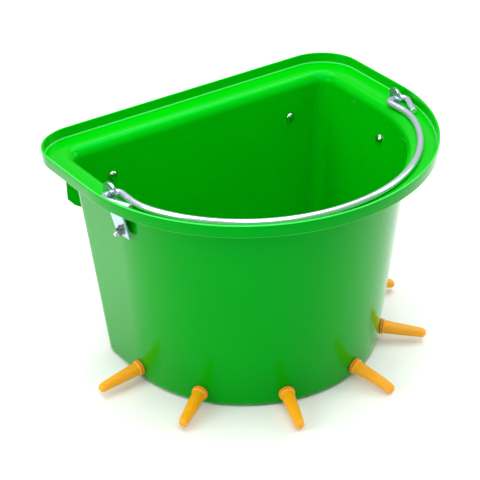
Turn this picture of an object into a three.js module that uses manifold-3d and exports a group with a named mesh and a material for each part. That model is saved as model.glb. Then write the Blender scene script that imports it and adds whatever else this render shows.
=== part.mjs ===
// Half-round hanging feeder bucket with six rubber teats, a wire bail on two strap lugs,
// and two hook brackets on its flat back. Millimetres, +Z up, -Y is the rounded front.
// The origin is on the underside, midway across, below the start of the rim's front arc.
import * as THREE from 'three';
import { mergeVertices } from 'three/addons/utils/BufferGeometryUtils.js';
import Module from 'manifold-3d';

const wasm = await Module();
wasm.setup();

const GAP = 0.3; // clearance between pieces that touch
const UP = new THREE.Vector3(0, 0, 1);
const BACKWARDS = new THREE.Vector3(0, 1, 0);

// D-shaped outlines: front arc about (0, centreY), flanks, flat back with round corners.
const RIM = { radius: 199, centreY: -1, halfWidth: 200, backY: 130, corner: 49 };
const BASE = { radius: 145.5, centreY: 15, halfWidth: 145.5, backY: 88, corner: 17 };

const WALL = 2.5; // moulded thickness of walls and rim
const RIM_TOP = 260;
const SHELF_TOP = 248.3;
const SHELF_WIDTH = 22; // from the rim's outer edge to the start of the inner rounding
const RIM_OVERHANG = 32.2; // from the rim's outer edge to the wall's outer face
const SKIRT_TUCK = 0.8; // how far the skirt's lower edge sits inside the lip
const LIP_FILLET = 2;
const FLOOR = 3;
const HEEL_RADIUS = 6; // rounding of the outer bottom edge
const INNER_HEEL_RADIUS = 6;
const WALL_TOP = SHELF_TOP - (RIM_OVERHANG + WALL - SHELF_WIDTH);

// Strap lugs: flat bars with a round head, leaning out through slots in the rim shelf.
const LUG_WIDTH = 21.6;
const LUG_THICKNESS = 3;
const LUG_HEAD = { x: 180.1, y: -16.8, z: 254.4 }; // centre of the round head
const LUG_LEAN = THREE.MathUtils.degToRad(14); // of the leg below the shelf
const LUG_HEAD_LEAN = THREE.MathUtils.degToRad(3);
const LUG_YAW = THREE.MathUtils.degToRad(5.5); // square to the wall's curve
const LUG_BEND_DROP = 4; // from the head's centre down to the bend
const LUG_LEG = 52.8; // from the bend down to the foot
const LUG_EYE_RADIUS = 4.9;
const LUG_EYE_DROP = 2.1; // the eye sits this far below the head's centre
const LUG_BOLT_HEIGHT = 7.8; // bolt hole above the foot, along the strap
const LUG_GRIP = 11; // from the bolt head's flat to the strap's outer face
const SLOT_BELOW_BEND = 8; // how far below the lug's bend its slot is cut
const SLOT_CLEARANCE = 0.6;

// Bail: round wire that lies on the shelf; its ends hook through the lug eyes.
const WIRE_RADIUS = 3.5;
const BAIL_Z = SHELF_TOP + WIRE_RADIUS + GAP;
const BAIL_Y = -16; // the line through both eyes that the bail swings about
const BAIL_ARC_RADIUS = 178.4;
const BAIL_ARC_START = -27; // degrees, where the big arc takes over from the straight leg
const LEG_X = 170.4;
const LEG_STRAIGHT_END_Y = -42;
const INNER_BEND_RADIUS = 7;
const OUTER_BEND_RADIUS = 8;
const OUTER_BEND_X = 182.8; // where the wire starts to turn outside the lug
const HOOK_TURN = 115; // degrees that the hook turns outside the lug
const HOOK_LENGTH = 28; // straight end of the hook

// M5 fasteners.
const BOLT_RADIUS = 2.4;
const BOLT_HOLE_RADIUS = 2.8;
const HEAD_RADIUS = 5.1;
const HEAD_HEIGHT = 2.8;
const WASHER = { outer: 5.5, inner: 2.7, thickness: 1 };
const NUT = { flats: 8, bore: 2.7, thickness: 4 };
const LUG_BOLT_PROUD = 3.2; // bolt length left beyond the nut
const HANGER_BOLT_PROUD = 0.6;

// Hook brackets behind the back wall.
const HANGER_X = 116.8;
const HANGER_WIDTH = 50;
const HANGER_PLATE = 8;
const HANGER_LOW = 168;
const HANGER_TOP = 235;
const HANGER_BRIDGE = 12;
const HANGER_THROAT = 18.5;
const HANGER_TIP_LOW = 155.7;
const HANGER_BACK_Y = 158.5;
const HANGER_TIP_FLAT = 17; // flat length of the hook's lower end
const HANGER_TIP_RISE = 4.8; // how far its inner corner is cut away
const HANGER_BOLT_Z = 205.5;
const NUT_POCKET = { radius: 6.2, depth: 6 };

// Teats, square to the tapered wall, in a row near the base.
// Each teat: its bearing in degrees, how far it stands out and how far its rubber tip hangs down.
const TEATS = [
  { bearing: -177, length: 54.5, sag: 1 },
  { bearing: -144.4, length: 53.5, sag: 0 },
  { bearing: -108.4, length: 53, sag: 1.5 },
  { bearing: -73.8, length: 54.5, sag: 2.5 },
  { bearing: -41, length: 52.5, sag: 0 },
  { bearing: -7, length: 44, sag: 5 },
];
const TEAT_Z = 17;
const TEAT_BASE_RADIUS = 7.3;
const TEAT_TIP_RADIUS = 5.3;
const TEAT_LIP_RADIUS = 8.6;
const TEAT_LIP_HEIGHT = 1.6;
const TEAT_NECK_HEIGHT = 2.8; // from the lip's flat to the start of the taper
const TEAT_SKIN = 2; // rubber thickness at the tip
const MILK_HOLE_RADIUS = 1;
const SEAL = { outer: 8.9, inner: 5.4, thickness: 2.4 };
const STEM = { outer: 5, inner: 3, flange: 6.5, flangeThickness: 1.4, inside: 9, outside: 12 };
const STEM_NUT = { flats: 13, bore: 5.3, thickness: 4 };

const plastic = new THREE.MeshStandardMaterial({ color: 0x0aa51e, roughness: 0.22, metalness: 0 });
const bracketPlastic = new THREE.MeshStandardMaterial({
  color: 0x0a8f1a, roughness: 0.45, metalness: 0,
});
const zinc = new THREE.MeshStandardMaterial({ color: 0xd4d6dc, roughness: 0.35, metalness: 1 });
const steel = new THREE.MeshStandardMaterial({ color: 0xb9bbbe, roughness: 0.18, metalness: 1 });
const latex = new THREE.MeshStandardMaterial({ color: 0xf2a50a, roughness: 0.5, metalness: 0 });
const sealRubber = new THREE.MeshStandardMaterial({ color: 0xb8703c, roughness: 0.5, metalness: 0 });
const valvePlastic = new THREE.MeshStandardMaterial({
  color: 0xe8e8e4, roughness: 0.4, metalness: 0,
});

const bucket = new THREE.Group();

function addPiece(name, geometry, material, parent = bucket) {
  const mesh = new THREE.Mesh(geometry, material);
  mesh.name = name;
  parent.add(mesh);
  return mesh;
}

/** Turns a group so that its own +Z points along direction, and puts it at origin. */
function frameAlong(origin, direction) {
  const frame = new THREE.Group();
  frame.position.copy(origin);
  frame.quaternion.setFromUnitVectors(UP, direction);
  bucket.add(frame);
  return frame;
}

function toSolid(geometry) {
  const bare = geometry.clone();
  bare.deleteAttribute('normal');
  bare.deleteAttribute('uv');
  const merged = mergeVertices(bare, 1e-4);
  const vertProperties = new Float32Array(merged.attributes.position.array);
  const triVerts = new Uint32Array(merged.index.array);
  return new wasm.Manifold(new wasm.Mesh({ numProp: 3, vertProperties, triVerts }));
}

function toGeometry(solid) {
  const mesh = solid.getMesh();
  const geometry = new THREE.BufferGeometry();
  geometry.setAttribute('position', new THREE.BufferAttribute(mesh.vertProperties, 3));
  geometry.setIndex(new THREE.BufferAttribute(mesh.triVerts, 1));
  geometry.computeVertexNormals();
  return geometry;
}

/** Cuts every tool geometry out of the first one. */
function cut(geometry, tools) {
  return toGeometry(tools.reduce((solid, tool) => solid.subtract(toSolid(tool)), toSolid(geometry)));
}

/** Skins a closed body over rings of equal length, with a fan over the first and last ring. */
function loft(rings) {
  const count = rings[0].length;
  const middle = (ring) => ring.reduce((sum, p) => sum.add(p), new THREE.Vector3())
    .divideScalar(count);
  const points = [...rings.flat(), middle(rings[0]), middle(rings.at(-1))];
  const firstMiddle = points.length - 2;
  const lastMiddle = points.length - 1;
  const lastRing = (rings.length - 1) * count;
  const index = [];
  for (let j = 0; j < count; j += 1) {
    const next = (j + 1) % count;
    index.push(firstMiddle, next, j);
    index.push(lastMiddle, lastRing + j, lastRing + next);
    for (let i = 0; i < rings.length - 1; i += 1) {
      const here = i * count;
      const above = here + count;
      index.push(here + j, here + next, above + j);
      index.push(here + next, above + next, above + j);
    }
  }
  const geometry = new THREE.BufferGeometry().setFromPoints(points);
  geometry.setIndex(index);
  geometry.computeVertexNormals();
  return geometry;
}

/** Points on an arc about (cx, cy), from one angle to another in degrees. */
function arc(cx, cy, radius, from, to, segments) {
  return Array.from({ length: segments + 1 }, (_, i) => {
    const angle = THREE.MathUtils.degToRad(from + ((to - from) * i) / segments);
    return new THREE.Vector2(cx + radius * Math.cos(angle), cy + radius * Math.sin(angle));
  });
}

function inset(shape, distance) {
  return {
    radius: shape.radius - distance,
    centreY: shape.centreY,
    halfWidth: shape.halfWidth - distance,
    backY: shape.backY - distance,
    corner: shape.corner - distance,
  };
}

/** The wall's outer outline at height z: it tapers from below the rim to the base. */
function wallAt(z) {
  const top = inset(RIM, RIM_OVERHANG);
  const entries = Object.keys(BASE).map((key) => [
    key, THREE.MathUtils.lerp(BASE[key], top[key], z / WALL_TOP),
  ]);
  return Object.fromEntries(entries);
}

function ringOf(shape, z) {
  const cornerX = shape.halfWidth - shape.corner;
  const cornerY = shape.backY - shape.corner;
  const outline = [
    ...arc(0, shape.centreY, shape.radius, 180, 360, 36),
    ...arc(cornerX, cornerY, shape.corner, 0, 90, 8),
    ...arc(-cornerX, cornerY, shape.corner, 90, 180, 8),
  ];
  return outline.map((p) => new THREE.Vector3(p.x, p.y, z));
}

/** The moulded bucket: base, tapered wall, shelf and lip, skinned over one profile. */
function bucketShell() {
  const wallRing = (depth, z) => ringOf(inset(wallAt(z), depth), z);
  const rimRing = (depth, z) => ringOf(inset(RIM, depth), z);
  const heel = arc(HEEL_RADIUS, HEEL_RADIUS, HEEL_RADIUS, 270, 180, 3);
  const under = arc(SHELF_WIDTH, WALL_TOP, RIM_OVERHANG - SHELF_WIDTH, 0, 90, 4);
  const lipRadius = WALL / 2;
  const lip = arc(lipRadius, RIM_TOP - lipRadius, lipRadius, 180, 0, 4);
  const lipFoot = arc(WALL + LIP_FILLET, SHELF_TOP + LIP_FILLET, LIP_FILLET, 180, 270, 2);
  const over = arc(SHELF_WIDTH, WALL_TOP, RIM_OVERHANG + WALL - SHELF_WIDTH, 90, 0, 5);
  const innerHeel = arc(
    WALL + INNER_HEEL_RADIUS, FLOOR + INNER_HEEL_RADIUS, INNER_HEEL_RADIUS, 180, 270, 3,
  );
  const skirtLow = SHELF_TOP - WALL;
  return loft([
    ...heel.map((p) => wallRing(p.x, p.y)),
    ...under.map((p) => rimRing(p.x, p.y)),
    rimRing(SKIRT_TUCK, skirtLow),
    ...lip.map((p) => rimRing(p.x, p.y)),
    ...lipFoot.map((p) => rimRing(p.x, p.y)),
    ...over.map((p) => rimRing(p.x, p.y)),
    ...innerHeel.map((p) => wallRing(p.x, p.y)),
  ]);
}

/** Turns a profile of (radius, height) points about the Z axis. */
function turned(profile, segments) {
  return new THREE.LatheGeometry(profile, segments).rotateX(Math.PI / 2);
}

function disc(radius, holeRadius, thickness) {
  const shape = new THREE.Shape().absarc(0, 0, radius, 0, 2 * Math.PI);
  shape.holes.push(new THREE.Path().absarc(0, 0, holeRadius, 0, 2 * Math.PI, true));
  return new THREE.ExtrudeGeometry(shape, {
    depth: thickness, bevelEnabled: false, curveSegments: 12,
  });
}

function hexNut({ flats, bore, thickness }) {
  const cornerRadius = flats / Math.sqrt(3);
  const shape = new THREE.Shape(arc(0, 0, cornerRadius, 0, 300, 5));
  shape.holes.push(new THREE.Path().absarc(0, 0, bore, 0, 2 * Math.PI, true));
  return new THREE.ExtrudeGeometry(shape, {
    depth: thickness, bevelEnabled: false, curveSegments: 12,
  });
}

/** A rod along local Z from low to high, used as a drill. */
function drill(radius, low, high) {
  const rod = new THREE.CylinderGeometry(radius, radius, high - low, 16);
  return rod.rotateX(Math.PI / 2).translate(0, 0, (low + high) / 2);
}

/** A dome-headed bolt: head below z = 0, shank up to length. */
function domeBolt(length) {
  const dome = arc(0, 0, 1, -90, 0, 4).map(
    (p) => new THREE.Vector2(p.x * HEAD_RADIUS, p.y * HEAD_HEIGHT),
  );
  dome[0].x = 0;
  return turned([
    ...dome,
    new THREE.Vector2(BOLT_RADIUS, 0),
    new THREE.Vector2(BOLT_RADIUS, length),
    new THREE.Vector2(0, length),
  ], 12);
}

/** Adds a bolt, washer and nut along a frame's +Z; the head's flat is at local zero. */
function addFastener(name, frame, grip, proud) {
  const nutStart = grip + 2 * GAP + WASHER.thickness;
  addPiece(`${name}_bolt`, domeBolt(nutStart + NUT.thickness + proud), steel, frame);
  const washer = addPiece(
    `${name}_washer`, disc(WASHER.outer, WASHER.inner, WASHER.thickness), zinc, frame,
  );
  washer.position.z = grip + GAP;
  const nut = addPiece(`${name}_nut`, hexNut(NUT), zinc, frame);
  nut.position.z = nutStart;
}

/** A straight piece of the lug's strap, thickness about z = 0. */
function strap(outline) {
  const plate = new THREE.ExtrudeGeometry(new THREE.Shape(outline), {
    depth: LUG_THICKNESS, bevelEnabled: false,
  });
  return plate.translate(0, 0, -LUG_THICKNESS / 2);
}

/** The lug lies along its own +Y, with its foot at the origin; its head bends inwards. */
function lugGeometry() {
  const half = LUG_WIDTH / 2;
  const leg = strap([
    new THREE.Vector2(-half, 0),
    new THREE.Vector2(half, 0),
    new THREE.Vector2(half, LUG_LEG),
    new THREE.Vector2(-half, LUG_LEG),
  ]);
  const overlap = LUG_THICKNESS / 4;
  const head = strap([
    new THREE.Vector2(-half, -overlap),
    new THREE.Vector2(half, -overlap),
    ...arc(0, LUG_BEND_DROP, half, 0, 180, 12),
  ]);
  const eye = drill(LUG_EYE_RADIUS, -LUG_THICKNESS, LUG_THICKNESS);
  eye.translate(0, LUG_BEND_DROP - LUG_EYE_DROP, 0);
  const boltHole = drill(BOLT_HOLE_RADIUS, -LUG_THICKNESS, LUG_THICKNESS);
  boltHole.translate(0, LUG_BOLT_HEIGHT, 0);
  for (const piece of [head, eye]) {
    piece.rotateX(LUG_HEAD_LEAN - LUG_LEAN).translate(0, LUG_LEG, 0);
  }
  const body = toSolid(leg).add(toSolid(head));
  return toGeometry(body.subtract(toSolid(eye)).subtract(toSolid(boltHole)));
}

/** Unit vectors of a strap that leans by an angle: across it, up it and out of the bucket. */
function strapAxes(side, lean) {
  const turn = new THREE.Matrix4().makeRotationZ(-side * LUG_YAW);
  const along = new THREE.Vector3(side * Math.sin(lean), 0, Math.cos(lean));
  const outward = new THREE.Vector3(side * Math.cos(lean), 0, -Math.sin(lean));
  along.applyMatrix4(turn);
  outward.applyMatrix4(turn);
  return { across: new THREE.Vector3().crossVectors(along, outward), along, outward };
}

/** Places something drawn in the lug's own axes on the side of the bucket. */
function lugMatrix(side) {
  const head = strapAxes(side, LUG_HEAD_LEAN);
  const leg = strapAxes(side, LUG_LEAN);
  const foot = new THREE.Vector3(side * LUG_HEAD.x, LUG_HEAD.y, LUG_HEAD.z)
    .addScaledVector(head.along, -LUG_BEND_DROP)
    .addScaledVector(leg.along, -LUG_LEG);
  return new THREE.Matrix4().makeBasis(leg.across, leg.along, leg.outward).setPosition(foot);
}

function lugSlot(side) {
  const width = LUG_WIDTH + 2 * SLOT_CLEARANCE;
  const depth = LUG_THICKNESS + 2 * SLOT_CLEARANCE;
  const low = LUG_LEG - SLOT_BELOW_BEND;
  const slot = new THREE.BoxGeometry(width, SLOT_BELOW_BEND + LUG_BEND_DROP, depth);
  slot.translate(0, (LUG_LEG + LUG_BEND_DROP + low) / 2, 0);
  return slot.applyMatrix4(lugMatrix(side));
}

/** Where a lug's bolt starts, inside the wall, and which way it points. */
function lugBolt(side) {
  const { outward } = strapAxes(side, LUG_LEAN);
  const hole = new THREE.Vector3(0, LUG_BOLT_HEIGHT, 0).applyMatrix4(lugMatrix(side));
  const start = hole.clone().addScaledVector(outward, LUG_THICKNESS / 2 - LUG_GRIP);
  return { start, outward };
}

/** Half of the bail's centre line, from the hook's cut end to the front of the arc. */
function halfBail() {
  const innerCentreX = LEG_X + INNER_BEND_RADIUS;
  const outer = arc(
    OUTER_BEND_X, BAIL_Y - OUTER_BEND_RADIUS, OUTER_BEND_RADIUS, 90 - HOOK_TURN, 90, 8,
  );
  const inner = arc(innerCentreX, BAIL_Y - INNER_BEND_RADIUS, INNER_BEND_RADIUS, 90, 180, 5);
  const sweep = arc(0, RIM.centreY, BAIL_ARC_RADIUS, BAIL_ARC_START, -90, 12);
  const arcStart = sweep[0];
  const slope = Math.tan(THREE.MathUtils.degToRad(90 + BAIL_ARC_START));
  const shoulderY = arcStart.y + (LEG_X - arcStart.x) * slope;
  const shoulder = new THREE.QuadraticBezierCurve(
    new THREE.Vector2(LEG_X, LEG_STRAIGHT_END_Y),
    new THREE.Vector2(LEG_X, shoulderY),
    arcStart,
  ).getPoints(5);
  const heading = THREE.MathUtils.degToRad(-HOOK_TURN);
  const end = outer[0].clone().add(
    new THREE.Vector2(Math.cos(heading), Math.sin(heading)).multiplyScalar(HOOK_LENGTH),
  );
  return [end, ...outer, ...inner, ...shoulder, ...sweep.slice(1)];
}

/** Sweeps the wire's round section along the bail's level centre line. */
function bailGeometry() {
  const right = halfBail();
  const left = right.slice(0, -1).reverse().map((p) => new THREE.Vector2(-p.x, p.y));
  const path = [...right, ...left];
  const sides = 8;
  const rings = path.map((p, i) => {
    const before = path[Math.max(i - 1, 0)];
    const after = path[Math.min(i + 1, path.length - 1)];
    const along = after.clone().sub(before).normalize();
    return arc(0, 0, WIRE_RADIUS, 0, 360 - 360 / sides, sides - 1).map((q) => new THREE.Vector3(
      p.x + along.y * q.x, p.y - along.x * q.x, BAIL_Z + q.y,
    ));
  });
  return loft(rings.map((ring) => ring.reverse()));
}

/** Outer face of the back wall at height z. */
function backFace(z) {
  return wallAt(z).backY;
}

/** A hook bracket seen from the side: plate on the wall, bridge, and hook tip with a lead-in. */
function hangerGeometry() {
  const plateY = backFace(HANGER_TOP) + HANGER_PLATE;
  const throatY = plateY + HANGER_THROAT;
  const bridgeLow = HANGER_TOP - HANGER_BRIDGE;
  const profile = new THREE.Shape([
    new THREE.Vector2(backFace(HANGER_LOW) + GAP, HANGER_LOW),
    new THREE.Vector2(plateY, HANGER_LOW),
    new THREE.Vector2(plateY, bridgeLow),
    new THREE.Vector2(throatY, bridgeLow),
    new THREE.Vector2(throatY, HANGER_TIP_LOW + HANGER_TIP_RISE),
    new THREE.Vector2(HANGER_BACK_Y - HANGER_TIP_FLAT, HANGER_TIP_LOW),
    new THREE.Vector2(HANGER_BACK_Y, HANGER_TIP_LOW),
    new THREE.Vector2(HANGER_BACK_Y, HANGER_TOP),
    new THREE.Vector2(backFace(HANGER_TOP) + GAP, HANGER_TOP),
  ]);
  const block = new THREE.ExtrudeGeometry(profile, { depth: HANGER_WIDTH, bevelEnabled: false });
  block.translate(0, 0, -HANGER_WIDTH / 2);
  const yzxToXyz = new THREE.Matrix4().makeBasis(
    BACKWARDS, UP, new THREE.Vector3(1, 0, 0),
  );
  block.applyMatrix4(yzxToXyz);
  const alongY = (tool) => tool.rotateX(-Math.PI / 2).translate(0, 0, HANGER_BOLT_Z);
  const hole = alongY(drill(BOLT_HOLE_RADIUS, BASE.backY, plateY + 1));
  const pocket = alongY(drill(NUT_POCKET.radius, plateY - NUT_POCKET.depth, plateY + 1));
  return cut(block, [hole, pocket]);
}

/** The point on the outer wall behind a teat, and the wall's outward normal there. */
function teatSeat(bearing) {
  const angle = THREE.MathUtils.degToRad(bearing);
  const shape = wallAt(TEAT_Z);
  const top = inset(RIM, RIM_OVERHANG);
  const flare = (top.radius - BASE.radius + (top.centreY - BASE.centreY) * Math.sin(angle))
    / WALL_TOP;
  const point = new THREE.Vector3(
    shape.radius * Math.cos(angle), shape.centreY + shape.radius * Math.sin(angle), TEAT_Z,
  );
  const normal = new THREE.Vector3(Math.cos(angle), Math.sin(angle), -flare).normalize();
  return { point, normal };
}

/** A hollow rubber teat along +Z, open at the wall and with a milk hole at its tip. */
function teatGeometry(length) {
  const start = GAP + SEAL.thickness + GAP;
  const tipZ = length - TEAT_TIP_RADIUS;
  const flangeTop = start + STEM.flangeThickness + 2 * GAP;
  const cavityRadius = TEAT_TIP_RADIUS - TEAT_SKIN;
  const stemRadius = STEM.outer + GAP;
  const profile = [
    new THREE.Vector2(STEM.flange + GAP, start),
    new THREE.Vector2(TEAT_LIP_RADIUS, start),
    new THREE.Vector2(TEAT_LIP_RADIUS, start + TEAT_LIP_HEIGHT),
    new THREE.Vector2(TEAT_BASE_RADIUS, start + TEAT_NECK_HEIGHT),
    ...arc(0, tipZ, TEAT_TIP_RADIUS, 0, 75, 4),
    new THREE.Vector2(MILK_HOLE_RADIUS, length),
    new THREE.Vector2(MILK_HOLE_RADIUS, length - TEAT_SKIN),
    new THREE.Vector2(cavityRadius, tipZ),
    new THREE.Vector2(stemRadius, STEM.outside + TEAT_SKIN),
    new THREE.Vector2(stemRadius, flangeTop),
    new THREE.Vector2(STEM.flange + GAP, flangeTop),
  ];
  return turned([...profile, profile[0].clone()], 14);
}

/** The plastic stem that holds a teat: a tube through the wall with a flange outside it. */
function stemGeometry() {
  const flangeLow = 2 * GAP + SEAL.thickness + GAP;
  const flangeHigh = flangeLow + STEM.flangeThickness;
  const profile = [
    new THREE.Vector2(STEM.inner, -STEM.inside),
    new THREE.Vector2(STEM.outer, -STEM.inside),
    new THREE.Vector2(STEM.outer, flangeLow),
    new THREE.Vector2(STEM.flange, flangeLow),
    new THREE.Vector2(STEM.flange, flangeHigh),
    new THREE.Vector2(STEM.outer, flangeHigh),
    new THREE.Vector2(STEM.outer, STEM.outside),
    new THREE.Vector2(STEM.inner, STEM.outside),
  ];
  return turned([...profile, profile[0].clone()], 12);
}

/** Lets a teat hang: past its stem, points further out drop further, square to the axis. */
function sagged(geometry, frame, { length, sag }) {
  const down = new THREE.Vector3(0, 0, -1).applyQuaternion(frame.quaternion.clone().invert());
  down.z = 0;
  down.normalize();
  const position = geometry.attributes.position;
  for (let i = 0; i < position.count; i += 1) {
    const run = Math.max(position.getZ(i) - STEM.outside, 0) / (length - STEM.outside);
    position.setX(i, position.getX(i) + down.x * sag * run * run);
    position.setY(i, position.getY(i) + down.y * sag * run * run);
  }
  geometry.computeVertexNormals();
  return geometry;
}

function addTeat(design, label) {
  const { point, normal } = teatSeat(design.bearing);
  const frame = frameAlong(point, normal);
  const teat = sagged(teatGeometry(design.length), frame, design);
  addPiece(`teat_${label}`, teat, latex, frame);
  addPiece(`teat_stem_${label}`, stemGeometry(), valvePlastic, frame);
  const seal = addPiece(
    `teat_seal_${label}`, disc(SEAL.outer, SEAL.inner, SEAL.thickness), sealRubber, frame,
  );
  seal.position.z = GAP;
  const nut = addPiece(`teat_nut_${label}`, hexNut(STEM_NUT), valvePlastic, frame);
  nut.position.z = -(WALL + 2 * GAP + STEM_NUT.thickness);
}

/** Every hole that the moulded bucket has: teat stems, bolts and lug slots. */
function shellTools() {
  const margin = 1; // the drills run this far past both faces
  const along = (tool, point, direction) => {
    const turn = new THREE.Quaternion().setFromUnitVectors(UP, direction);
    return tool.applyQuaternion(turn).translate(point.x, point.y, point.z);
  };
  const tools = [];
  for (const { bearing } of TEATS) {
    const { point, normal } = teatSeat(bearing);
    tools.push(along(drill(STEM.outer + GAP, -WALL - margin, margin), point, normal));
  }
  for (const side of [-1, 1]) {
    const { start, outward } = lugBolt(side);
    tools.push(along(drill(BOLT_HOLE_RADIUS, -margin, LUG_GRIP), start, outward));
    tools.push(lugSlot(side));
    const back = new THREE.Vector3(side * HANGER_X, backFace(HANGER_BOLT_Z), HANGER_BOLT_Z);
    tools.push(along(drill(BOLT_HOLE_RADIUS, -WALL - margin, margin), back, BACKWARDS));
  }
  return tools;
}

addPiece('bucket_body', cut(bucketShell(), shellTools()), plastic);
addPiece('bail_handle', bailGeometry(), zinc);

for (const side of [-1, 1]) {
  const name = side < 0 ? 'left' : 'right';
  const lug = addPiece(`lug_${name}`, lugGeometry(), zinc);
  lug.applyMatrix4(lugMatrix(side));
  const { start, outward } = lugBolt(side);
  addFastener(`lug_${name}`, frameAlong(start, outward), LUG_GRIP, LUG_BOLT_PROUD);

  const hanger = addPiece(`hanger_${name}`, hangerGeometry(), bracketPlastic);
  hanger.position.x = side * HANGER_X;
  const innerY = backFace(HANGER_BOLT_Z) - WALL - GAP;
  const pocketFloor = backFace(HANGER_TOP) + HANGER_PLATE - NUT_POCKET.depth;
  const boltStart = new THREE.Vector3(side * HANGER_X, innerY, HANGER_BOLT_Z);
  addFastener(
    `hanger_${name}`, frameAlong(boltStart, BACKWARDS),
    pocketFloor - innerY, HANGER_BOLT_PROUD,
  );
}

TEATS.forEach((design, index) => addTeat(design, index + 1));

export default bucket;
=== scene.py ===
"""Half-round hanging feeder bucket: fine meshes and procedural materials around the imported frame."""
import math

import bmesh
import bpy
from mathutils import Matrix, Vector


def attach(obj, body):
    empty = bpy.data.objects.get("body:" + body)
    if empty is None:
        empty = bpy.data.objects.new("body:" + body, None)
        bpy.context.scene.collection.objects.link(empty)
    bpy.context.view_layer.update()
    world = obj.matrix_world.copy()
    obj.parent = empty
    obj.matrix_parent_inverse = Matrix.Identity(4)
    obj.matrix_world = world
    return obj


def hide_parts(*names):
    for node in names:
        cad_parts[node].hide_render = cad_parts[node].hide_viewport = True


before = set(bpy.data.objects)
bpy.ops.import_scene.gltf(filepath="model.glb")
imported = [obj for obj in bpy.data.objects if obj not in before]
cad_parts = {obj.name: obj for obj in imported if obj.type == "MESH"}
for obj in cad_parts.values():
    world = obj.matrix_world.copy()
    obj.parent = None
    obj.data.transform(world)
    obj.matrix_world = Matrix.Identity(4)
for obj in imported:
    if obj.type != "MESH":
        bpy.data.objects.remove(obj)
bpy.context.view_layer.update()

MM = 0.001
POINT = 0.02  # the radius, in millimetres, at which a turned body closes

# Outlines and sizes in millimetres, the same as the CAD model's.
RIM = {"radius": 199, "centre_y": -1, "half_width": 200, "back_y": 130, "corner": 49}
BASE = {"radius": 145.5, "centre_y": 15, "half_width": 145.5, "back_y": 88, "corner": 17}
WALL = 2.5
RIM_TOP = 260
SHELF_TOP = 248.3
SHELF_WIDTH = 22
RIM_OVERHANG = 32.2
SKIRT_TUCK = 0.8
LIP_FILLET = 1.6
HEM_RADIUS = 0.9
FLOOR = 3
HEEL_RADIUS = 6
INNER_HEEL_RADIUS = 6
WALL_TOP = SHELF_TOP - (RIM_OVERHANG + WALL - SHELF_WIDTH)

LUG_WIDTH = 21.6
LUG_THICKNESS = 3
LUG_HEAD = (180.1, -16.8, 254.4)
LUG_LEAN = math.radians(14)
LUG_HEAD_LEAN = math.radians(3)
LUG_YAW = math.radians(5.5)
LUG_BEND_DROP = 4
LUG_BEND_LENGTH = 4
LUG_LEG = 52.8
LUG_EYE_RADIUS = 4.9
LUG_EYE_DROP = 2.1
LUG_BOLT_HEIGHT = 7.8
LUG_GRIP = 11
SLOT_CLEARANCE = 0.6
SLOT_BELOW_BEND = 8
SLOT_CORNER = 1.2

WIRE_RADIUS = 3.5
GAP = 0.3
BAIL_Z = SHELF_TOP + WIRE_RADIUS + GAP
BAIL_Y = -16
BAIL_ARC_RADIUS = 178.4
BAIL_ARC_START = -27
LEG_X = 170.4
LEG_STRAIGHT_END_Y = -42
INNER_BEND_RADIUS = 7
OUTER_BEND_RADIUS = 8
OUTER_BEND_X = 182.8
HOOK_TURN = 115
HOOK_LENGTH = 28

BOLT_RADIUS = 2.4
BOLT_HOLE_RADIUS = 2.8
HEAD_RADIUS = 5.1
HEAD_HEIGHT = 2.8
WASHER_OUTER, WASHER_INNER, WASHER_THICKNESS = 5.5, 2.7, 1
NUT_FLATS, NUT_BORE, NUT_THICKNESS = 8, 2.7, 4
LUG_BOLT_PROUD = 3.2
HANGER_BOLT_PROUD = 0.6
BOLT_PITCH, BOLT_THREAD_DEPTH = 0.8, 0.3

HANGER_X = 116.8
HANGER_WIDTH = 50
HANGER_PLATE = 8
HANGER_LOW = 168
HANGER_TOP = 235
HANGER_BRIDGE = 12
HANGER_THROAT = 18.5
HANGER_TIP_LOW = 155.7
HANGER_BACK_Y = 158.5
HANGER_TIP_FLAT = 17
HANGER_TIP_RISE = 4.8
HANGER_BOLT_Z = 205.5
POCKET_RADIUS, POCKET_DEPTH = 6.2, 6

# Each teat: its bearing in degrees, how far it stands out and how far its rubber tip hangs down.
TEATS = (
    (-177, 54.5, 1),
    (-144.4, 53.5, 0),
    (-108.4, 53, 1.5),
    (-73.8, 54.5, 2.5),
    (-41, 52.5, 0),
    (-7, 44, 5),
)
TEAT_Z = 17
TEAT_BASE_RADIUS = 7.3
TEAT_TIP_RADIUS = 5.3
TEAT_LIP_RADIUS = 8.6
MILK_HOLE_RADIUS = 0.8
SEAL_OUTER, SEAL_INNER, SEAL_THICKNESS = 8.9, 5.4, 2.4
STEM_OUTER, STEM_INNER, STEM_FLANGE, STEM_FLANGE_THICKNESS = 5, 3, 6.5, 1.4
STEM_INSIDE, STEM_OUTSIDE = 9, 12
STEM_PITCH, STEM_THREAD_DEPTH = 1.5, 0.5
STEM_NUT_FLATS, STEM_NUT_BORE, STEM_NUT_THICKNESS = 13, 5.3, 4

# The camera: where it looks from, in degrees, and its place in millimetres.
CAMERA_AZIMUTH, CAMERA_ELEVATION, CAMERA_ROLL = -32.66, 30.17, -2.02
CAMERA_PLACE = (-896.8, -1372.1, 1081.6)
CAMERA_LENS = 130.26


# ---------------------------------------------------------------- materials

def srgb(red, green, blue):
    """An 8-bit sRGB colour as linear RGBA."""
    def linear(value):
        value /= 255
        return value / 12.92 if value <= 0.04045 else ((value + 0.055) / 1.055) ** 2.4
    return (linear(red), linear(green), linear(blue), 1)




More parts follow.
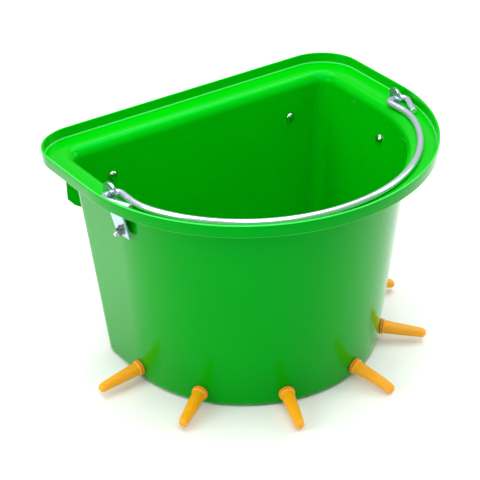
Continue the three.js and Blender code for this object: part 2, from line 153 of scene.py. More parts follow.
class Nodes:
    """A small helper that wires up one material's node tree."""

    def __init__(self, name):
        self.material = bpy.data.materials.new(name)
        self.material.use_nodes = True
        self.tree = self.material.node_tree
        self.shader = self.tree.nodes["Principled BSDF"]
        coords = self.tree.nodes.new("ShaderNodeTexCoord")
        self.place = coords.outputs["Object"]

    def set(self, **values):
        """Sets uniform values on the shader: an underscore stands for a space in the name."""
        for key, value in values.items():
            self.shader.inputs[key.replace("_", " ")].default_value = value

    def link(self, source, target):
        self.tree.links.new(source, target)

    def noise(self, scale, detail=3, roughness=0.5):
        """A cloudy pattern around one half; a larger scale gives finer clouds."""
        node = self.tree.nodes.new("ShaderNodeTexNoise")
        node.inputs["Scale"].default_value = scale
        node.inputs["Detail"].default_value = detail
        node.inputs["Roughness"].default_value = roughness
        self.link(self.place, node.inputs["Vector"])
        return node.outputs["Fac"]

    def facing(self):
        """0 where the surface faces the viewer, 1 where it turns edge-on."""
        return self.tree.nodes.new("ShaderNodeLayerWeight").outputs["Facing"]

    def cells(self, scale):
        """A pattern of crystals, each with a shade of its own."""
        node = self.tree.nodes.new("ShaderNodeTexVoronoi")
        node.inputs["Scale"].default_value = scale
        self.link(self.place, node.inputs["Vector"])
        return node.outputs["Color"]

    def ramp(self, source, stops):
        """Colours for a source value, from (value, colour) stops."""
        node = self.tree.nodes.new("ShaderNodeValToRGB")
        elements = node.color_ramp.elements
        for element, (at, colour) in zip(elements, (stops[0], stops[-1])):
            element.position = at
            element.color = colour
        for at, colour in stops[1:-1]:
            elements.new(at).color = colour
        self.link(source, node.inputs["Fac"])
        return node.outputs["Color"]

    def span(self, source, low, high):
        """Stretches a noise pattern to run from low to high."""
        node = self.tree.nodes.new("ShaderNodeMapRange")
        node.inputs["From Min"].default_value = 0.3
        node.inputs["From Max"].default_value = 0.7
        node.inputs["To Min"].default_value = low
        node.inputs["To Max"].default_value = high
        self.link(source, node.inputs["Value"])
        return node.outputs["Result"]

    def bump(self, heights):
        """Chains bumps of (height source, strength, distance in millimetres)."""
        normal = None
        for source, strength, distance in heights:
            node = self.tree.nodes.new("ShaderNodeBump")
            node.inputs["Strength"].default_value = strength
            node.inputs["Distance"].default_value = distance * MM
            self.link(source, node.inputs["Height"])
            if normal:
                self.link(normal, node.inputs["Normal"])
            normal = node.outputs["Normal"]
        self.link(normal, self.shader.inputs["Normal"])


def mottled(nodes, colour, scale, spread):
    """Base colour that drifts a little lighter and darker around one colour."""
    dark = tuple(c * (1 - spread) for c in colour[:3]) + (1,)
    light = tuple(min(1, c * (1 + spread)) for c in colour[:3]) + (1,)
    shade = nodes.ramp(nodes.noise(scale, 4), [(0.3, dark), (0.7, light)])
    nodes.link(shade, nodes.shader.inputs["Base Color"])


def moulded_plastic(name, colour):
    """Smooth plastic: a faint green gloss, and a thin clear coat where it turns edge-on."""
    n = Nodes(name)
    mottled(n, colour, scale=9, spread=0.03)
    n.link(n.span(n.noise(55, 5), 0.13, 0.18), n.shader.inputs["Roughness"])
    n.set(IOR=1.5, Specular_IOR_Level=0.2, Specular_Tint=(0, 1, 0.5, 1), Coat_IOR=1.5,
          Coat_Roughness=0.06)
    no_coat, thin_coat = (0, 0, 0, 1), (0.22, 0.22, 0.22, 1)
    coat = n.ramp(n.facing(), [(0.3, no_coat), (0.85, thin_coat)])
    n.link(coat, n.shader.inputs["Coat Weight"])
    n.bump([(n.noise(14, 2), 0.25, 0.5), (n.noise(900, 3), 0.05, 0.05)])
    return n.material


def bracket_plastic():
    n = Nodes("bracket_green_plastic")
    mottled(n, srgb(0, 138, 6), scale=20, spread=0.05)
    n.link(n.span(n.noise(120, 5), 0.3, 0.42), n.shader.inputs["Roughness"])
    n.set(IOR=1.5, Specular_IOR_Level=0.0)
    n.bump([(n.noise(1500, 3), 0.25, 0.08)])
    return n.material


def zinc(name, colour, rough, metal, grain):
    """Zinc plating: a roughness range, how metallic it is and how grainy its crystals look."""
    n = Nodes(name)
    cells = n.cells(260)
    mottled(n, colour, scale=90, spread=0.3 * grain)
    n.link(n.span(n.noise(160, 5, 0.6), *rough), n.shader.inputs["Roughness"])
    n.set(Metallic=metal)
    n.bump([(n.noise(500, 3, 0.5), 0.5 * grain, 0.04), (cells, 0.2 * grain, 0.02)])
    return n.material


def polished():
    n = Nodes("bright_bolt")
    mottled(n, srgb(196, 198, 200), scale=300, spread=0.03)
    n.link(n.span(n.noise(900, 4), 0.08, 0.2), n.shader.inputs["Roughness"])
    n.set(Metallic=1)
    n.bump([(n.noise(1800, 3), 0.08, 0.03)])
    return n.material


def latex():
    n = Nodes("teat_latex")
    mottled(n, srgb(242, 164, 0), scale=60, spread=0.06)
    n.link(n.span(n.noise(400, 4), 0.36, 0.5), n.shader.inputs["Roughness"])
    n.set(IOR=1.45, Subsurface_Weight=0.25, Subsurface_Radius=(1.0, 0.45, 0.1),
          Subsurface_Scale=2.5 * MM)
    n.bump([(n.noise(700, 4), 0.15, 0.12), (n.noise(120, 2), 0.1, 0.2)])
    return n.material


def seal_rubber():
    n = Nodes("seal_rubber")
    mottled(n, srgb(222, 138, 40), scale=150, spread=0.08)
    n.link(n.span(n.noise(500, 4), 0.4, 0.55), n.shader.inputs["Roughness"])
    n.set(IOR=1.45, Subsurface_Weight=0.15, Subsurface_Radius=(1.0, 0.4, 0.15),
          Subsurface_Scale=2 * MM)
    n.bump([(n.noise(900, 4), 0.2, 0.1)])
    return n.material


def valve_plastic():
    n = Nodes("valve_plastic")
    mottled(n, srgb(232, 231, 222), scale=80, spread=0.03)
    n.link(n.span(n.noise(500, 4), 0.32, 0.45), n.shader.inputs["Roughness"])
    n.set(IOR=1.5, Subsurface_Weight=0.1, Subsurface_Scale=1 * MM)
    n.bump([(n.noise(1200, 3), 0.12, 0.05)])
    return n.material


MATERIALS = {
    "moulded_green_plastic": moulded_plastic("moulded_green_plastic", srgb(0, 149, 4)),
    "bracket_green_plastic": bracket_plastic(),
    "zinc_wire": zinc(
        "zinc_wire", srgb(206, 220, 232), rough=(0.2, 0.23), metal=0.75, grain=0.015,
    ),
    "zinc_strap": zinc(
        "zinc_strap", srgb(174, 198, 210), rough=(0.1, 0.16), metal=0.85, grain=0.04,
    ),
    "zinc_hardware": zinc(
        "zinc_hardware", srgb(156, 160, 164), rough=(0.2, 0.3), metal=1, grain=0.15,
    ),
    "bright_bolt": polished(),
    "teat_latex": latex(),
    "seal_rubber": seal_rubber(),
    "valve_plastic": valve_plastic(),
}

# The bucket's plastic in three shades of one colour: faces looking into the bucket or up get a lighter
# copy as painted light, thin edges a lighter one still as painted highlight.
EDGE_HIGHLIGHT_PLASTIC = moulded_plastic("moulded_green_painted_highlight", srgb(64, 208, 84))
LIT_FACES_PLASTIC = moulded_plastic("moulded_green_painted_light", srgb(0, 172, 4))


# ---------------------------------------------------------------- mesh helpers

def arc(cx, cy, radius, start, stop, segments):
    """Points on an arc about (cx, cy), between two angles in degrees."""
    angles = [math.radians(start + (stop - start) * i / segments) for i in range(segments + 1)]
    return [(cx + radius * math.cos(a), cy + radius * math.sin(a)) for a in angles]


def between(first, last, segments):
    """Points from one to the other, both included."""
    return [
        tuple(a + (b - a) * i / segments for a, b in zip(first, last))
        for i in range(segments + 1)
    ]


def mesh_from(name, points, faces):
    """A mesh from points in millimetres."""
    mesh = bpy.data.meshes.new(name)
    mesh.from_pydata([[c * MM for c in p] for p in points], [], faces)
    bm = bmesh.new()
    bm.from_mesh(mesh)
    bmesh.ops.recalc_face_normals(bm, faces=bm.faces)
    bm.to_mesh(mesh)
    bm.free()
    return mesh


def skinned(name, rings, closed=False):
    """A body skinned over rings of equal length: capped at both ends, or closed on itself."""
    count = len(rings[0])
    points = [p for ring in rings for p in ring]
    faces = []
    for i in range(len(rings) if closed else len(rings) - 1):
        here, above = i * count, ((i + 1) % len(rings)) * count
        for j in range(count):
            k = (j + 1) % count
            faces.append((here + j, here + k, above + k, above + j))
    if not closed:
        faces.append(tuple(reversed(range(count))))
        faces.append(tuple(range((len(rings) - 1) * count, len(rings) * count)))
    return mesh_from(name, points, faces)


def turned(name, profile, segments, closed=False, radius_at=None):
    """A body of revolution about Z from (radius, height) points; radius_at may reshape a ring."""
    reshape = radius_at or (lambda radius, height, angle: (radius, height))
    rings = []
    for radius, height in profile:
        ring = []
        for i in range(segments):
            angle = 2 * math.pi * i / segments
            r, z = reshape(radius, height, angle)
            ring.append((r * math.cos(angle), r * math.sin(angle), z))
        rings.append(ring)
    return skinned(name, rings, closed)


def add_piece(node, mesh, body, slot, sharp=35):
    """Shows a mesh in place of a CAD node, on the node's body."""
    piece = bpy.data.objects.new("fine_" + node, mesh)
    bpy.context.scene.collection.objects.link(piece)
    mesh.materials.clear()
    mesh.materials.append(MATERIALS[slot])
    mesh.shade_smooth()
    mesh.set_sharp_from_angle(angle=math.radians(sharp))
    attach(piece, body)
    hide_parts(node)
    return piece


def carved(mesh, cutters):
    """The mesh with every cutter mesh cut out of it. The cutters don't touch each other."""
    tool_mesh = bpy.data.meshes.new("tool")
    bm = bmesh.new()
    for cutter in cutters:
        bm.from_mesh(cutter)
    bm.to_mesh(tool_mesh)
    bm.free()
    tool = bpy.data.objects.new("tool", tool_mesh)
    work = bpy.data.objects.new("work", mesh)
    for obj in (tool, work):
        bpy.context.scene.collection.objects.link(obj)
    cut = work.modifiers.new("cut", "BOOLEAN")
    cut.operation = "DIFFERENCE"
    cut.solver = "EXACT"
    cut.object = tool
    bpy.context.view_layer.update()
    evaluated = work.evaluated_get(bpy.context.evaluated_depsgraph_get())
    result = bpy.data.meshes.new_from_object(evaluated)
    for obj in (tool, work):
        bpy.data.objects.remove(obj)
    return result


def placed(mesh, matrix):
    """Moves a mesh by a matrix whose translation is in millimetres."""
    moved = matrix.copy()
    moved.translation = moved.translation * MM
    mesh.transform(moved)
    mesh.update()
    return mesh


def aimed(origin, direction):
    """A matrix that puts +Z along direction at origin."""
    turn = Vector((0, 0, 1)).rotation_difference(direction).to_matrix().to_4x4()
    return Matrix.Translation(origin) @ turn


def plate(name, outline, holes, thickness, bevel):
    """A flat plate about z = 0 with rounded edges, from closed outlines in millimetres."""
    bm = bmesh.new()
    edges = []
    for loop in [outline] + holes:
        verts = [bm.verts.new((x * MM, y * MM, -thickness / 2 * MM)) for x, y in loop]
        edges += [bm.edges.new((a, b)) for a, b in zip(verts, verts[1:] + verts[:1])]
    filled = bmesh.ops.triangle_fill(bm, use_beauty=True, use_dissolve=True, edges=edges)
    faces = [g for g in filled["geom"] if isinstance(g, bmesh.types.BMFace)]
    raised = bmesh.ops.extrude_face_region(bm, geom=faces)["geom"]
    lifted = [g for g in raised if isinstance(g, bmesh.types.BMVert)]
    bmesh.ops.translate(bm, vec=(0, 0, thickness * MM), verts=lifted)
    bmesh.ops.recalc_face_normals(bm, faces=bm.faces)
    corners = [e for e in bm.edges if len(e.link_faces) == 2 and e.calc_face_angle() > 1.2]
    bmesh.ops.bevel(bm, geom=corners, offset=bevel * MM, segments=2, profile=0.6,
                    affect="EDGES", clamp_overlap=True)
    mesh = bpy.data.meshes.new(name)
    bm.to_mesh(mesh)
    bm.free()
    return mesh


def drill(radius, low, high):
    """A cylinder about Z that is used to cut a hole."""
    return turned("drill", [(radius, low), (radius, high)], 48)


# ---------------------------------------------------------------- bucket

def inset(shape, distance):
    """An outline drawn in by a distance all round."""
    moved = {key: value - distance for key, value in shape.items()}
    moved["centre_y"] = shape["centre_y"]
    return moved


def wall_at(z):
    """The wall's outer outline at height z."""
    top = inset(RIM, RIM_OVERHANG)
    return {key: BASE[key] + (top[key] - BASE[key]) * z / WALL_TOP for key in BASE}


def ring_of(shape, z):
    """An outline's points at height z: front arc, right side, back and left side."""
    corner_x = shape["half_width"] - shape["corner"]
    corner_y = shape["back_y"] - shape["corner"]
    front = arc(0, shape["centre_y"], shape["radius"], 180, 360, 180)
    right = arc(corner_x, corner_y, shape["corner"], 0, 90, 24)
    left = arc(-corner_x, corner_y, shape["corner"], 90, 180, 24)
    outline = (
        front[:-1] + between(front[-1], right[0], 20)[:-1] + right[:-1]
        + between(right[-1], left[0], 60)[:-1] + left[:-1]
        + between(left[-1], front[0], 20)[:-1]
    )
    return [(x, y, z) for x, y in outline]


def bucket_mesh():
    """The moulded bucket, skinned over one profile from the heel up, over the lip and down."""
    def wall_ring(depth, z):
        return ring_of(inset(wall_at(z), depth), z)

    def rim_ring(depth, z):
        return ring_of(inset(RIM, depth), z)

    heel = arc(HEEL_RADIUS, HEEL_RADIUS, HEEL_RADIUS, 270, 180, 8)
    under = arc(SHELF_WIDTH, WALL_TOP, RIM_OVERHANG - SHELF_WIDTH, 0, 90, 12)
    skirt_low = SHELF_TOP - WALL
    skirt = arc(SKIRT_TUCK + HEM_RADIUS, skirt_low + HEM_RADIUS, HEM_RADIUS, 270, 180, 4)
    lip_radius = WALL / 2
    lip = arc(lip_radius, RIM_TOP - lip_radius, lip_radius, 180, 0, 12)
    lip_foot = arc(WALL + LIP_FILLET, SHELF_TOP + LIP_FILLET, LIP_FILLET, 180, 270, 6)
    over = arc(SHELF_WIDTH, WALL_TOP, RIM_OVERHANG + WALL - SHELF_WIDTH, 90, 0, 14)
    inner_heel = arc(
        WALL + INNER_HEEL_RADIUS, FLOOR + INNER_HEEL_RADIUS, INNER_HEEL_RADIUS, 180, 270, 8,
    )
    support = 1.5  # how close to a rounding the flat beside it starts
    outer_wall = [(0, z) for z in steps(HEEL_RADIUS + support, WALL_TOP - support, 12)]
    inner_low = FLOOR + INNER_HEEL_RADIUS + support
    inner_wall = [(WALL, z) for z in steps(WALL_TOP - support, inner_low, 12)]
    rings = [wall_ring(HEEL_RADIUS + 2 * support, 0), wall_ring(HEEL_RADIUS + support, 0)]
    rings += [wall_ring(*p) for p in heel + outer_wall]
    rings += [rim_ring(*p) for p in under]
    rings += [rim_ring(SHELF_WIDTH - support, skirt_low), rim_ring(3, skirt_low)]
    rings += [rim_ring(*p) for p in skirt]
    rings += [rim_ring(*p) for p in [(0.1, RIM_TOP - 4)] + lip]
    rings += [rim_ring(WALL, RIM_TOP - 3)]
    rings += [rim_ring(*p) for p in lip_foot]
    rings += [rim_ring(WALL + LIP_FILLET + 1, SHELF_TOP), rim_ring(SHELF_WIDTH - 1, SHELF_TOP)]
    rings += [rim_ring(*p) for p in over]
    rings += [wall_ring(*p) for p in inner_wall + inner_heel]
    rings += [wall_ring(WALL + INNER_HEEL_RADIUS + support, FLOOR)]
    rings += [wall_ring(WALL + INNER_HEEL_RADIUS + 2 * support, FLOOR)]
    return skinned("bucket", rings)


def paint_light_on_faces(mesh):
    """Paints light onto the plastic: a lighter shade on the inside and on faces that look up, and a
    painted highlight, lighter still, on the thin edges of the lip and of the skirt's hem.
    """
    mesh.materials.append(EDGE_HIGHLIGHT_PLASTIC)
    mesh.materials.append(LIT_FACES_PLASTIC)
    hem = SHELF_TOP - WALL
    for face in mesh.polygons:
        z = face.center.z / MM
        outward = face.normal.x * face.center.x + face.normal.y * face.center.y > 0
        tilted = 0.25 < abs(face.normal.z) < 0.96
        foot = not outward and SHELF_TOP < z < SHELF_TOP + LIP_FILLET and face.normal.z > 0
        top = outward and z > RIM_TOP - WALL / 2
        rolled = outward and hem < z < hem + HEM_RADIUS and face.normal.z < 0
        # Painted highlight on the lip's rounded top, its foot and the rolled hem.
        if tilted and (foot or top or rolled):
            face.material_index = 1
        # Painted light: a lighter shade on faces that look inward or up.
        elif not outward or face.normal.z > 0.3:
            face.material_index = 2


def steps(first, last, segments):
    """Numbers from first to last, both included."""
    return [first + (last - first) * i / segments for i in range(segments + 1)]


def strap_axes(side, lean):
    """Unit vectors of a leaning strap: across it, up it and out of the bucket."""
    turn = Matrix.Rotation(-side * LUG_YAW, 3, "Z")
    along = turn @ Vector((side * math.sin(lean), 0, math.cos(lean)))
    outward = turn @ Vector((side * math.cos(lean), 0, -math.sin(lean)))
    return along.cross(outward), along, outward


def lug_matrix(side):
    """Where the lug's own axes lie: +Y up the strap from its foot, +Z out of the bucket."""
    head_along = strap_axes(side, LUG_HEAD_LEAN)[1]
    across, along, outward = strap_axes(side, LUG_LEAN)
    head = Vector((side * LUG_HEAD[0], LUG_HEAD[1], LUG_HEAD[2]))
    foot = head - head_along * LUG_BEND_DROP - along * LUG_LEG
    return Matrix.Translation(foot) @ Matrix((across, along, outward)).transposed().to_4x4()


def lug_bolt(side):
    """Where a lug's bolt starts, inside the wall, and which way it points."""
    matrix = lug_matrix(side)
    outward = matrix.to_3x3() @ Vector((0, 0, 1))
    return matrix @ Vector((0, LUG_BOLT_HEIGHT, LUG_THICKNESS / 2 - LUG_GRIP)), outward


def back_face(z):
    """Where the flat back's outside lies at height z."""
    return wall_at(z)["back_y"]


def teat_seat(bearing):
    """The point on the outer wall behind a teat, and the wall's outward normal there."""
    angle = math.radians(bearing)
    shape = wall_at(TEAT_Z)
    top = inset(RIM, RIM_OVERHANG)
    widening = top["radius"] - BASE["radius"]
    shift = (top["centre_y"] - BASE["centre_y"]) * math.sin(angle)
    flare = (widening + shift) / WALL_TOP
    point = Vector((
        shape["radius"] * math.cos(angle),
        shape["centre_y"] + shape["radius"] * math.sin(angle),
        TEAT_Z,
    ))
    return point, Vector((math.cos(angle), math.sin(angle), -flare)).normalized()


def slot_cutter(side):
    """The slot that a lug stands in, as a round-cornered block about the bend."""
    low, high = LUG_LEG - SLOT_BELOW_BEND, LUG_LEG + LUG_BEND_DROP
    half = LUG_WIDTH / 2 + SLOT_CLEARANCE
    depth = LUG_THICKNESS / 2 + SLOT_CLEARANCE
    end = min(depth, SLOT_CORNER)
    outline = []
    for cx, cz, start in ((half - end, depth - end, 0), (end - half, depth - end, 90),
                          (end - half, end - depth, 180), (half - end, end - depth, 270)):
        outline += arc(cx, cz, end, start, start + 90, 5)
    rings = [[(x, y, z) for x, z in outline] for y in (low, high)]
    return placed(skinned("slot", rings), lug_matrix(side))


def bucket_cutters():
    """Everything drilled and cut through the moulding."""
    cutters = []
    for bearing, _, _ in TEATS:
        point, normal = teat_seat(bearing)
        cutters.append(placed(drill(STEM_OUTER + GAP, -WALL - 3, 3), aimed(point, normal)))
    for side in (-1, 1):
        start, outward = lug_bolt(side)
        cutters.append(placed(drill(BOLT_HOLE_RADIUS, -1, LUG_GRIP), aimed(start, outward)))
        cutters.append(slot_cutter(side))
        back = Vector((side * HANGER_X, back_face(HANGER_BOLT_Z), HANGER_BOLT_Z))
        cutters.append(
            placed(drill(BOLT_HOLE_RADIUS, -WALL - 1, 1), aimed(back, Vector((0, 1, 0))))
        )
    return cutters


# ---------------------------------------------------------------- lugs, bail and fasteners

def lug_mesh():
    """The strap lies along +Y from its foot; above the bend it turns towards the bucket."""
    half = LUG_WIDTH / 2
    head_y = LUG_LEG + LUG_BEND_DROP
    outline = [(-half, 0), (half, 0)] + arc(0, head_y, half, 0, 180, 48)
    eye = arc(0, head_y - LUG_EYE_DROP, LUG_EYE_RADIUS, 360, 0, 40)[:-1]
    bolt_hole = arc(0, LUG_BOLT_HEIGHT, BOLT_HOLE_RADIUS, 360, 0, 28)[:-1]
    mesh = plate("lug", outline, [eye, bolt_hole], LUG_THICKNESS, 0.35)
    start = LUG_LEG - LUG_BEND_LENGTH / 2
    bm = bmesh.new()
    bm.from_mesh(mesh)
    for y in steps(start, start + LUG_BEND_LENGTH, 6):
        everything = list(bm.verts) + list(bm.edges) + list(bm.faces)
        bmesh.ops.bisect_plane(
            bm, geom=everything, plane_co=(0, y * MM, 0), plane_no=(0, 1, 0),
        )
    turn = LUG_LEAN - LUG_HEAD_LEAN
    radius = LUG_BEND_LENGTH / turn
    for vert in bm.verts:
        run = vert.co.y / MM - start
        if run <= 0:
            continue
        angle = min(run / radius, turn)
        beyond = max(run - LUG_BEND_LENGTH, 0)
        height = radius + vert.co.z / MM
        y = start + height * math.sin(angle) + beyond * math.cos(angle)
        z = height * math.cos(angle) - radius - beyond * math.sin(angle)
        vert.co.y, vert.co.z = y * MM, z * MM
    bm.to_mesh(mesh)
    bm.free()
    return mesh


def bezier(a, b, c, segments):
    """Points on a quadratic curve."""
    points = []
    for i in range(segments + 1):
        t = i / segments
        points.append(tuple(
            (1 - t) ** 2 * p + 2 * t * (1 - t) * q + t * t * r for p, q, r in zip(a, b, c)
        ))
    return points


def half_bail():
    """Half of the bail's centre line, from the hook's cut end to the front of the arc."""
    outer_y = BAIL_Y - OUTER_BEND_RADIUS
    outer = arc(OUTER_BEND_X, outer_y, OUTER_BEND_RADIUS, 90 - HOOK_TURN, 90, 24)
    inner_y = BAIL_Y - INNER_BEND_RADIUS
    inner = arc(LEG_X + INNER_BEND_RADIUS, inner_y, INNER_BEND_RADIUS, 90, 180, 16)
    sweep = arc(0, RIM["centre_y"], BAIL_ARC_RADIUS, BAIL_ARC_START, -90, 70)
    start_x, start_y = sweep[0]
    slope = math.tan(math.radians(90 + BAIL_ARC_START))
    shoulder = bezier(
        (LEG_X, LEG_STRAIGHT_END_Y),
        (LEG_X, start_y + (LEG_X - start_x) * slope),
        sweep[0],
        20,
    )
    heading = math.radians(-HOOK_TURN)
    tail = [
        (outer[0][0] + math.cos(heading) * run, outer[0][1] + math.sin(heading) * run)
        for run in (HOOK_LENGTH, HOOK_LENGTH - 0.4, HOOK_LENGTH / 2)
    ]
    return tail + outer + inner + shoulder + sweep[1:]


def bail_mesh():
    """The bent wire, swept along both halves of its centre line."""
    right = half_bail()
    path = right + [(-x, y) for x, y in reversed(right[:-1])]
    sides = 28
    chamfer = 0.4
    rings = []
    for i, (x, y) in enumerate(path):
        before = path[max(i - 1, 0)]
        after = path[min(i + 1, len(path) - 1)]
        along = Vector((after[0] - before[0], after[1] - before[1])).normalized()
        is_end = i in (0, len(path) - 1)
        radius = WIRE_RADIUS - (chamfer if is_end else 0)
        ring = arc(0, 0, radius, 0, 360, sides)[:-1]
        rings.append([(x + along.y * u, y - along.x * u, BAIL_Z + v) for u, v in ring])
    return skinned("bail", rings)


def ridges(radius, low, high, pitch, depth):
    """A thread's outline: ridges between two heights."""
    points = []
    count = int((high - low) / pitch)
    for i in range(count):
        z = low + i * pitch
        points += [(radius, z + pitch * 0.25), (radius - depth, z + pitch * 0.75)]
    return points


def bolt_mesh(length, thread_from):
    """A dome-headed bolt along +Z; its head's flat side is at z = 0."""
    dome = [
        (max(x * HEAD_RADIUS, POINT), y * HEAD_HEIGHT) for x, y in arc(0, 0, 1, -90, -8, 14)
    ]
    edge = [(HEAD_RADIUS, -0.35), (HEAD_RADIUS, -0.1), (HEAD_RADIUS - 0.1, 0)]
    shank = [(BOLT_RADIUS, 0), (BOLT_RADIUS, thread_from)]
    thread = ridges(BOLT_RADIUS, thread_from, length - 0.6, BOLT_PITCH, BOLT_THREAD_DEPTH)
    tip = [(BOLT_RADIUS - 0.1, length - 0.5), (BOLT_RADIUS - 0.6, length), (POINT, length)]
    return turned("bolt", dome + edge + shank + thread + tip, 40)


def ring_mesh(outer, inner, thickness, edge):
    """A flat ring with rounded outer edges, from z = 0 up."""
    profile = (
        [(inner, edge), (inner + edge, 0)]
        + arc(outer - edge, edge, edge, 270, 360, 4)
        + arc(outer - edge, thickness - edge, edge, 0, 90, 4)
        + [(inner + edge, thickness), (inner, thickness - edge)]
    )
    return turned("ring", profile, 48, closed=True)


def nut_mesh(flats, bore, thickness):
    """A hexagonal nut with chamfered corners, from z = 0 up."""
    chamfer_from = flats / 2 * 0.97
    edge = 0.4

    def hexed(radius, height, angle):
        if radius <= bore + 0.5:
            return radius, height
        corner = (angle + math.pi / 6) % (math.pi / 3) - math.pi / 6
        reach = flats / 2 / math.cos(corner)
        if radius < flats:
            return min(radius, reach), height
        drop = max(reach - chamfer_from, 0) * 0.55
        return reach, min(max(height, drop), thickness - drop)

    far = 2 * flats
    profile = [
        (bore, edge), (bore + edge, 0), (chamfer_from, 0), (far, 0), (far, thickness * 0.4),
        (far, thickness * 0.6), (far, thickness), (chamfer_from, thickness),
        (bore + edge, thickness), (bore, thickness - edge),
    ]
    return turned("nut", profile, 72, closed=True, radius_at=hexed)


def add_fastener(name, origin, direction, grip, proud):
    """Bolt, washer and nut: grip is what they clamp, proud is how far the bolt passes the nut."""
    nut_start = grip + 2 * GAP + WASHER_THICKNESS
    length = nut_start + NUT_THICKNESS + proud
    place = aimed(origin, direction)
    bolt = placed(bolt_mesh(length, nut_start - 1), place)
    add_piece(name + "_bolt", bolt, "bucket", "bright_bolt")
    washer = ring_mesh(WASHER_OUTER, WASHER_INNER, WASHER_THICKNESS, 0.2)
    lifted = place @ Matrix.Translation((0, 0, grip + GAP))
    add_piece(name + "_washer", placed(washer, lifted), "bucket", "zinc_hardware")
    nut = nut_mesh(NUT_FLATS, NUT_BORE, NUT_THICKNESS)
    lifted = place @ Matrix.Translation((0, 0, nut_start))
    add_piece(name + "_nut", placed(nut, lifted), "bucket", "zinc_hardware", sharp=25)


# ---------------------------------------------------------------- hook brackets

def hanger_mesh():
    """A hook bracket: the side profile as a thick plate, then bolt hole and nut pocket."""
    plate_y = back_face(HANGER_TOP) + HANGER_PLATE
    throat_y = plate_y + HANGER_THROAT
    bridge_low = HANGER_TOP - HANGER_BRIDGE
    outline = [
        (back_face(HANGER_LOW) + GAP, HANGER_LOW),
        (plate_y, HANGER_LOW),
        (plate_y, bridge_low),
        (throat_y, bridge_low),
        (throat_y, HANGER_TIP_LOW + HANGER_TIP_RISE),
        (HANGER_BACK_Y - HANGER_TIP_FLAT, HANGER_TIP_LOW),
        (HANGER_BACK_Y, HANGER_TIP_LOW),
        (HANGER_BACK_Y, HANGER_TOP),
        (back_face(HANGER_TOP) + GAP, HANGER_TOP),
    ]
    block = plate("hanger", outline, [], HANGER_WIDTH, 1)
    sideways = Matrix(((0, 0, 1, 0), (1, 0, 0, 0), (0, 1, 0, 0), (0, 0, 0, 1)))
    placed(block, sideways)
    along_y = aimed(Vector((0, 0, HANGER_BOLT_Z)), Vector((0, 1, 0)))
    hole = placed(drill(BOLT_HOLE_RADIUS, BASE["back_y"], plate_y - POCKET_DEPTH), along_y)
    pocket = placed(drill(POCKET_RADIUS, plate_y - POCKET_DEPTH, plate_y + 3), along_y)
    return carved(carved(block, [hole]), [pocket])


# ---------------------------------------------------------------- teats

def sagged(mesh, matrix, length, sag):
    """Lets a teat hang: past its stem, points further out drop further, square to the axis."""
    down = matrix.to_3x3().inverted() @ Vector((0, 0, -1))
    down.z = 0
    down.normalize()
    for vertex in mesh.vertices:
        run = max(vertex.co.z / MM - STEM_OUTSIDE, 0) / (length - STEM_OUTSIDE)
        vertex.co += down * (sag * run * run * MM)
    return mesh


def teat_mesh(length):
    """A hollow rubber teat along +Z: rounded lip, neck, tapered wall and milk hole."""
    start = GAP + SEAL_THICKNESS + GAP
    tip_z = length - TEAT_TIP_RADIUS
    flange_top = start + STEM_FLANGE_THICKNESS + 2 * GAP
    stem_radius = STEM_OUTER + GAP
    lip = 1.2
    neck = arc(TEAT_BASE_RADIUS + 1, start + 2 * lip + 1, 1, 250, 180, 4)
    profile = (
        [(STEM_FLANGE + GAP, start)]
        + arc(TEAT_LIP_RADIUS - lip, start + lip, lip, 270, 450, 10)
        + neck
        + between((TEAT_BASE_RADIUS, start + 5), (TEAT_TIP_RADIUS, tip_z), 16)
        + arc(0, tip_z, TEAT_TIP_RADIUS, 6, 80, 12)
        + [
            (MILK_HOLE_RADIUS, length - 0.15),
            (MILK_HOLE_RADIUS * 0.8, length - 0.6),
            (MILK_HOLE_RADIUS * 0.8, length - 2),
            (TEAT_TIP_RADIUS - 2, tip_z),
            (stem_radius, STEM_OUTSIDE + 2),
            (stem_radius, flange_top),
            (STEM_FLANGE + GAP, flange_top),
        ]
    )
    return turned("teat", profile, 56, closed=True)


def stem_mesh():
    """The tube that carries a teat: thread inside the bucket, flange outside it."""
    flange_low = 3 * GAP + SEAL_THICKNESS
    flange_high = flange_low + STEM_FLANGE_THICKNESS
    thread = ridges(STEM_OUTER, 0.3 - STEM_INSIDE, -WALL, STEM_PITCH, STEM_THREAD_DEPTH)
    profile = (
        [(STEM_INNER, -STEM_INSIDE), (STEM_OUTER - 0.5, -STEM_INSIDE)]
        + thread
        + [
            (STEM_OUTER, -WALL + 0.2),
            (STEM_OUTER, flange_low),
            (STEM_FLANGE, flange_low),
            (STEM_FLANGE, flange_high),
            (STEM_OUTER, flange_high),
            (STEM_OUTER, STEM_OUTSIDE - 0.5),
            (STEM_OUTER - 0.5, STEM_OUTSIDE),
            (STEM_INNER, STEM_OUTSIDE),
        ]
    )
    return turned("stem", profile, 40, closed=True)


def add_teat(label, bearing, length, sag):
    """One teat with its stem, seal and nut, square to the wall at its bearing."""
    point, normal = teat_seat(bearing)
    place = aimed(point, normal)
    teat = placed(sagged(teat_mesh(length), place, length, sag), place)
    add_piece("teat_" + label, teat, "bucket", "teat_latex")
    add_piece("teat_stem_" + label, placed(stem_mesh(), place), "bucket", "valve_plastic")
    seal = ring_mesh(SEAL_OUTER, SEAL_INNER, SEAL_THICKNESS, 0.9)
    lifted = place @ Matrix.Translation((0, 0, GAP))
    add_piece("teat_seal_" + label, placed(seal, lifted), "bucket", "seal_rubber")
    nut = nut_mesh(STEM_NUT_FLATS, STEM_NUT_BORE, STEM_NUT_THICKNESS)
    lifted = place @ Matrix.Translation((0, 0, -(WALL + 2 * GAP + STEM_NUT_THICKNESS)))
    add_piece("teat_nut_" + label, placed(nut, lifted), "bucket", "valve_plastic", sharp=25)


# ---------------------------------------------------------------- assembly

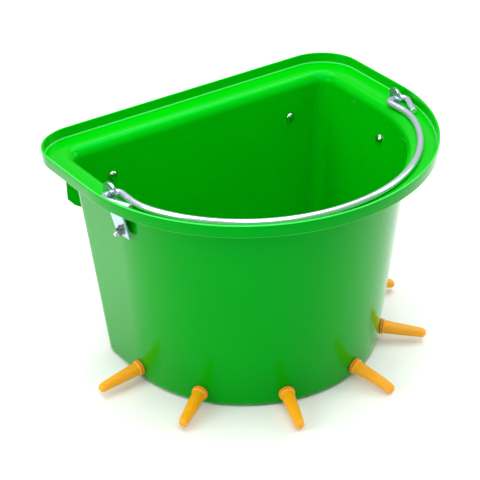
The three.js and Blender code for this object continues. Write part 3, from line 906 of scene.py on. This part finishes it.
def build_object():
    """Every piece, in place of its CAD node."""
    body = carved(bucket_mesh(), bucket_cutters())
    add_piece("bucket_body", body, "bucket", "moulded_green_plastic")
    paint_light_on_faces(body)
    add_piece("bail_handle", bail_mesh(), "bail", "zinc_wire")
    for side, name in ((-1, "left"), (1, "right")):
        lug = placed(lug_mesh(), lug_matrix(side))
        add_piece("lug_" + name, lug, "bucket", "zinc_strap", sharp=50)
        start, outward = lug_bolt(side)
        add_fastener("lug_" + name, start, outward, LUG_GRIP, LUG_BOLT_PROUD)
        hanger = placed(hanger_mesh(), Matrix.Translation((side * HANGER_X, 0, 0)))
        add_piece("hanger_" + name, hanger, "bucket", "bracket_green_plastic", sharp=40)
        inner_y = back_face(HANGER_BOLT_Z) - WALL - GAP
        pocket_floor = back_face(HANGER_TOP) + HANGER_PLATE - POCKET_DEPTH
        add_fastener(
            "hanger_" + name, Vector((side * HANGER_X, inner_y, HANGER_BOLT_Z)),
            Vector((0, 1, 0)), pocket_floor - inner_y, HANGER_BOLT_PROUD,
        )
    for number, (bearing, length, sag) in enumerate(TEATS, 1):
        add_teat(str(number), bearing, length, sag)


# ---------------------------------------------------------------- studio

def add_camera():
    """The view from the front left, from above."""
    azimuth, elevation = math.radians(CAMERA_AZIMUTH), math.radians(CAMERA_ELEVATION)
    roll = math.radians(CAMERA_ROLL)
    back = Vector((
        math.sin(azimuth) * math.cos(elevation),
        -math.cos(azimuth) * math.cos(elevation),
        math.sin(elevation),
    ))
    level = Vector((math.cos(azimuth), math.sin(azimuth), 0))
    upright = back.cross(level)
    right = level * math.cos(roll) + upright * math.sin(roll)
    up = back.cross(right)
    data = bpy.data.cameras.new("camera")
    data.sensor_width = 36
    data.lens = CAMERA_LENS
    data.clip_end = 100
    camera = bpy.data.objects.new("camera", data)
    bpy.context.scene.collection.objects.link(camera)
    turn = Matrix((right, up, back)).transposed().to_4x4()
    camera.matrix_world = Matrix.Translation(Vector(CAMERA_PLACE) * MM) @ turn
    bpy.context.scene.camera = camera


def add_softbox(name, place, target, size, power):
    """A square soft light that faces a point. Metres and watts."""
    data = bpy.data.lights.new(name, "AREA")
    data.shape = "RECTANGLE"
    data.size = data.size_y = size
    data.energy = power
    light = bpy.data.objects.new(name, data)
    bpy.context.scene.collection.objects.link(light)
    aim = Vector(target) - Vector(place)
    light.matrix_world = (
        Matrix.Translation(place) @ aim.to_track_quat("-Z", "Y").to_matrix().to_4x4()
    )


def add_studio():
    """A white room: even sky light, a pale floor and four soft lights."""
    world = bpy.data.worlds.new("studio")
    world.use_nodes = True
    background = world.node_tree.nodes["Background"]
    background.inputs["Color"].default_value = (1, 1, 1, 1)
    background.inputs["Strength"].default_value = 0.42
    bpy.context.scene.world = world
    floor_mesh = bpy.data.meshes.new("floor")
    reach = 12
    floor_mesh.from_pydata(
        [(-reach, -reach, 0), (reach, -reach, 0), (reach, reach, 0), (-reach, reach, 0)],
        [], [(0, 1, 2, 3)],
    )
    floor = bpy.data.objects.new("floor", floor_mesh)
    bpy.context.scene.collection.objects.link(floor)
    n = Nodes("floor")
    mottled(n, (0.86, 0.86, 0.86, 1), scale=3, spread=0.005)
    n.set(Roughness=0.6)
    floor_mesh.materials.append(n.material)
    bucket_middle, bucket_low = (0, 0, 0.2), (0, 0, 0.1)
    add_softbox("key", (-0.7, -1.6, 2.2), bucket_middle, size=1.4, power=22)
    add_softbox("left", (-2.2, 0.2, 1.2), bucket_middle, size=1.2, power=24)
    add_softbox("right", (2.0, -0.6, 1.2), bucket_middle, size=1.0, power=12)
    add_softbox("top", (0.2, 0.3, 2.6), bucket_low, size=3.0, power=104)


bpy.context.scene.view_settings.view_transform = "Standard"
add_camera()
add_studio()
build_object()

bpy.context.view_layer.update()
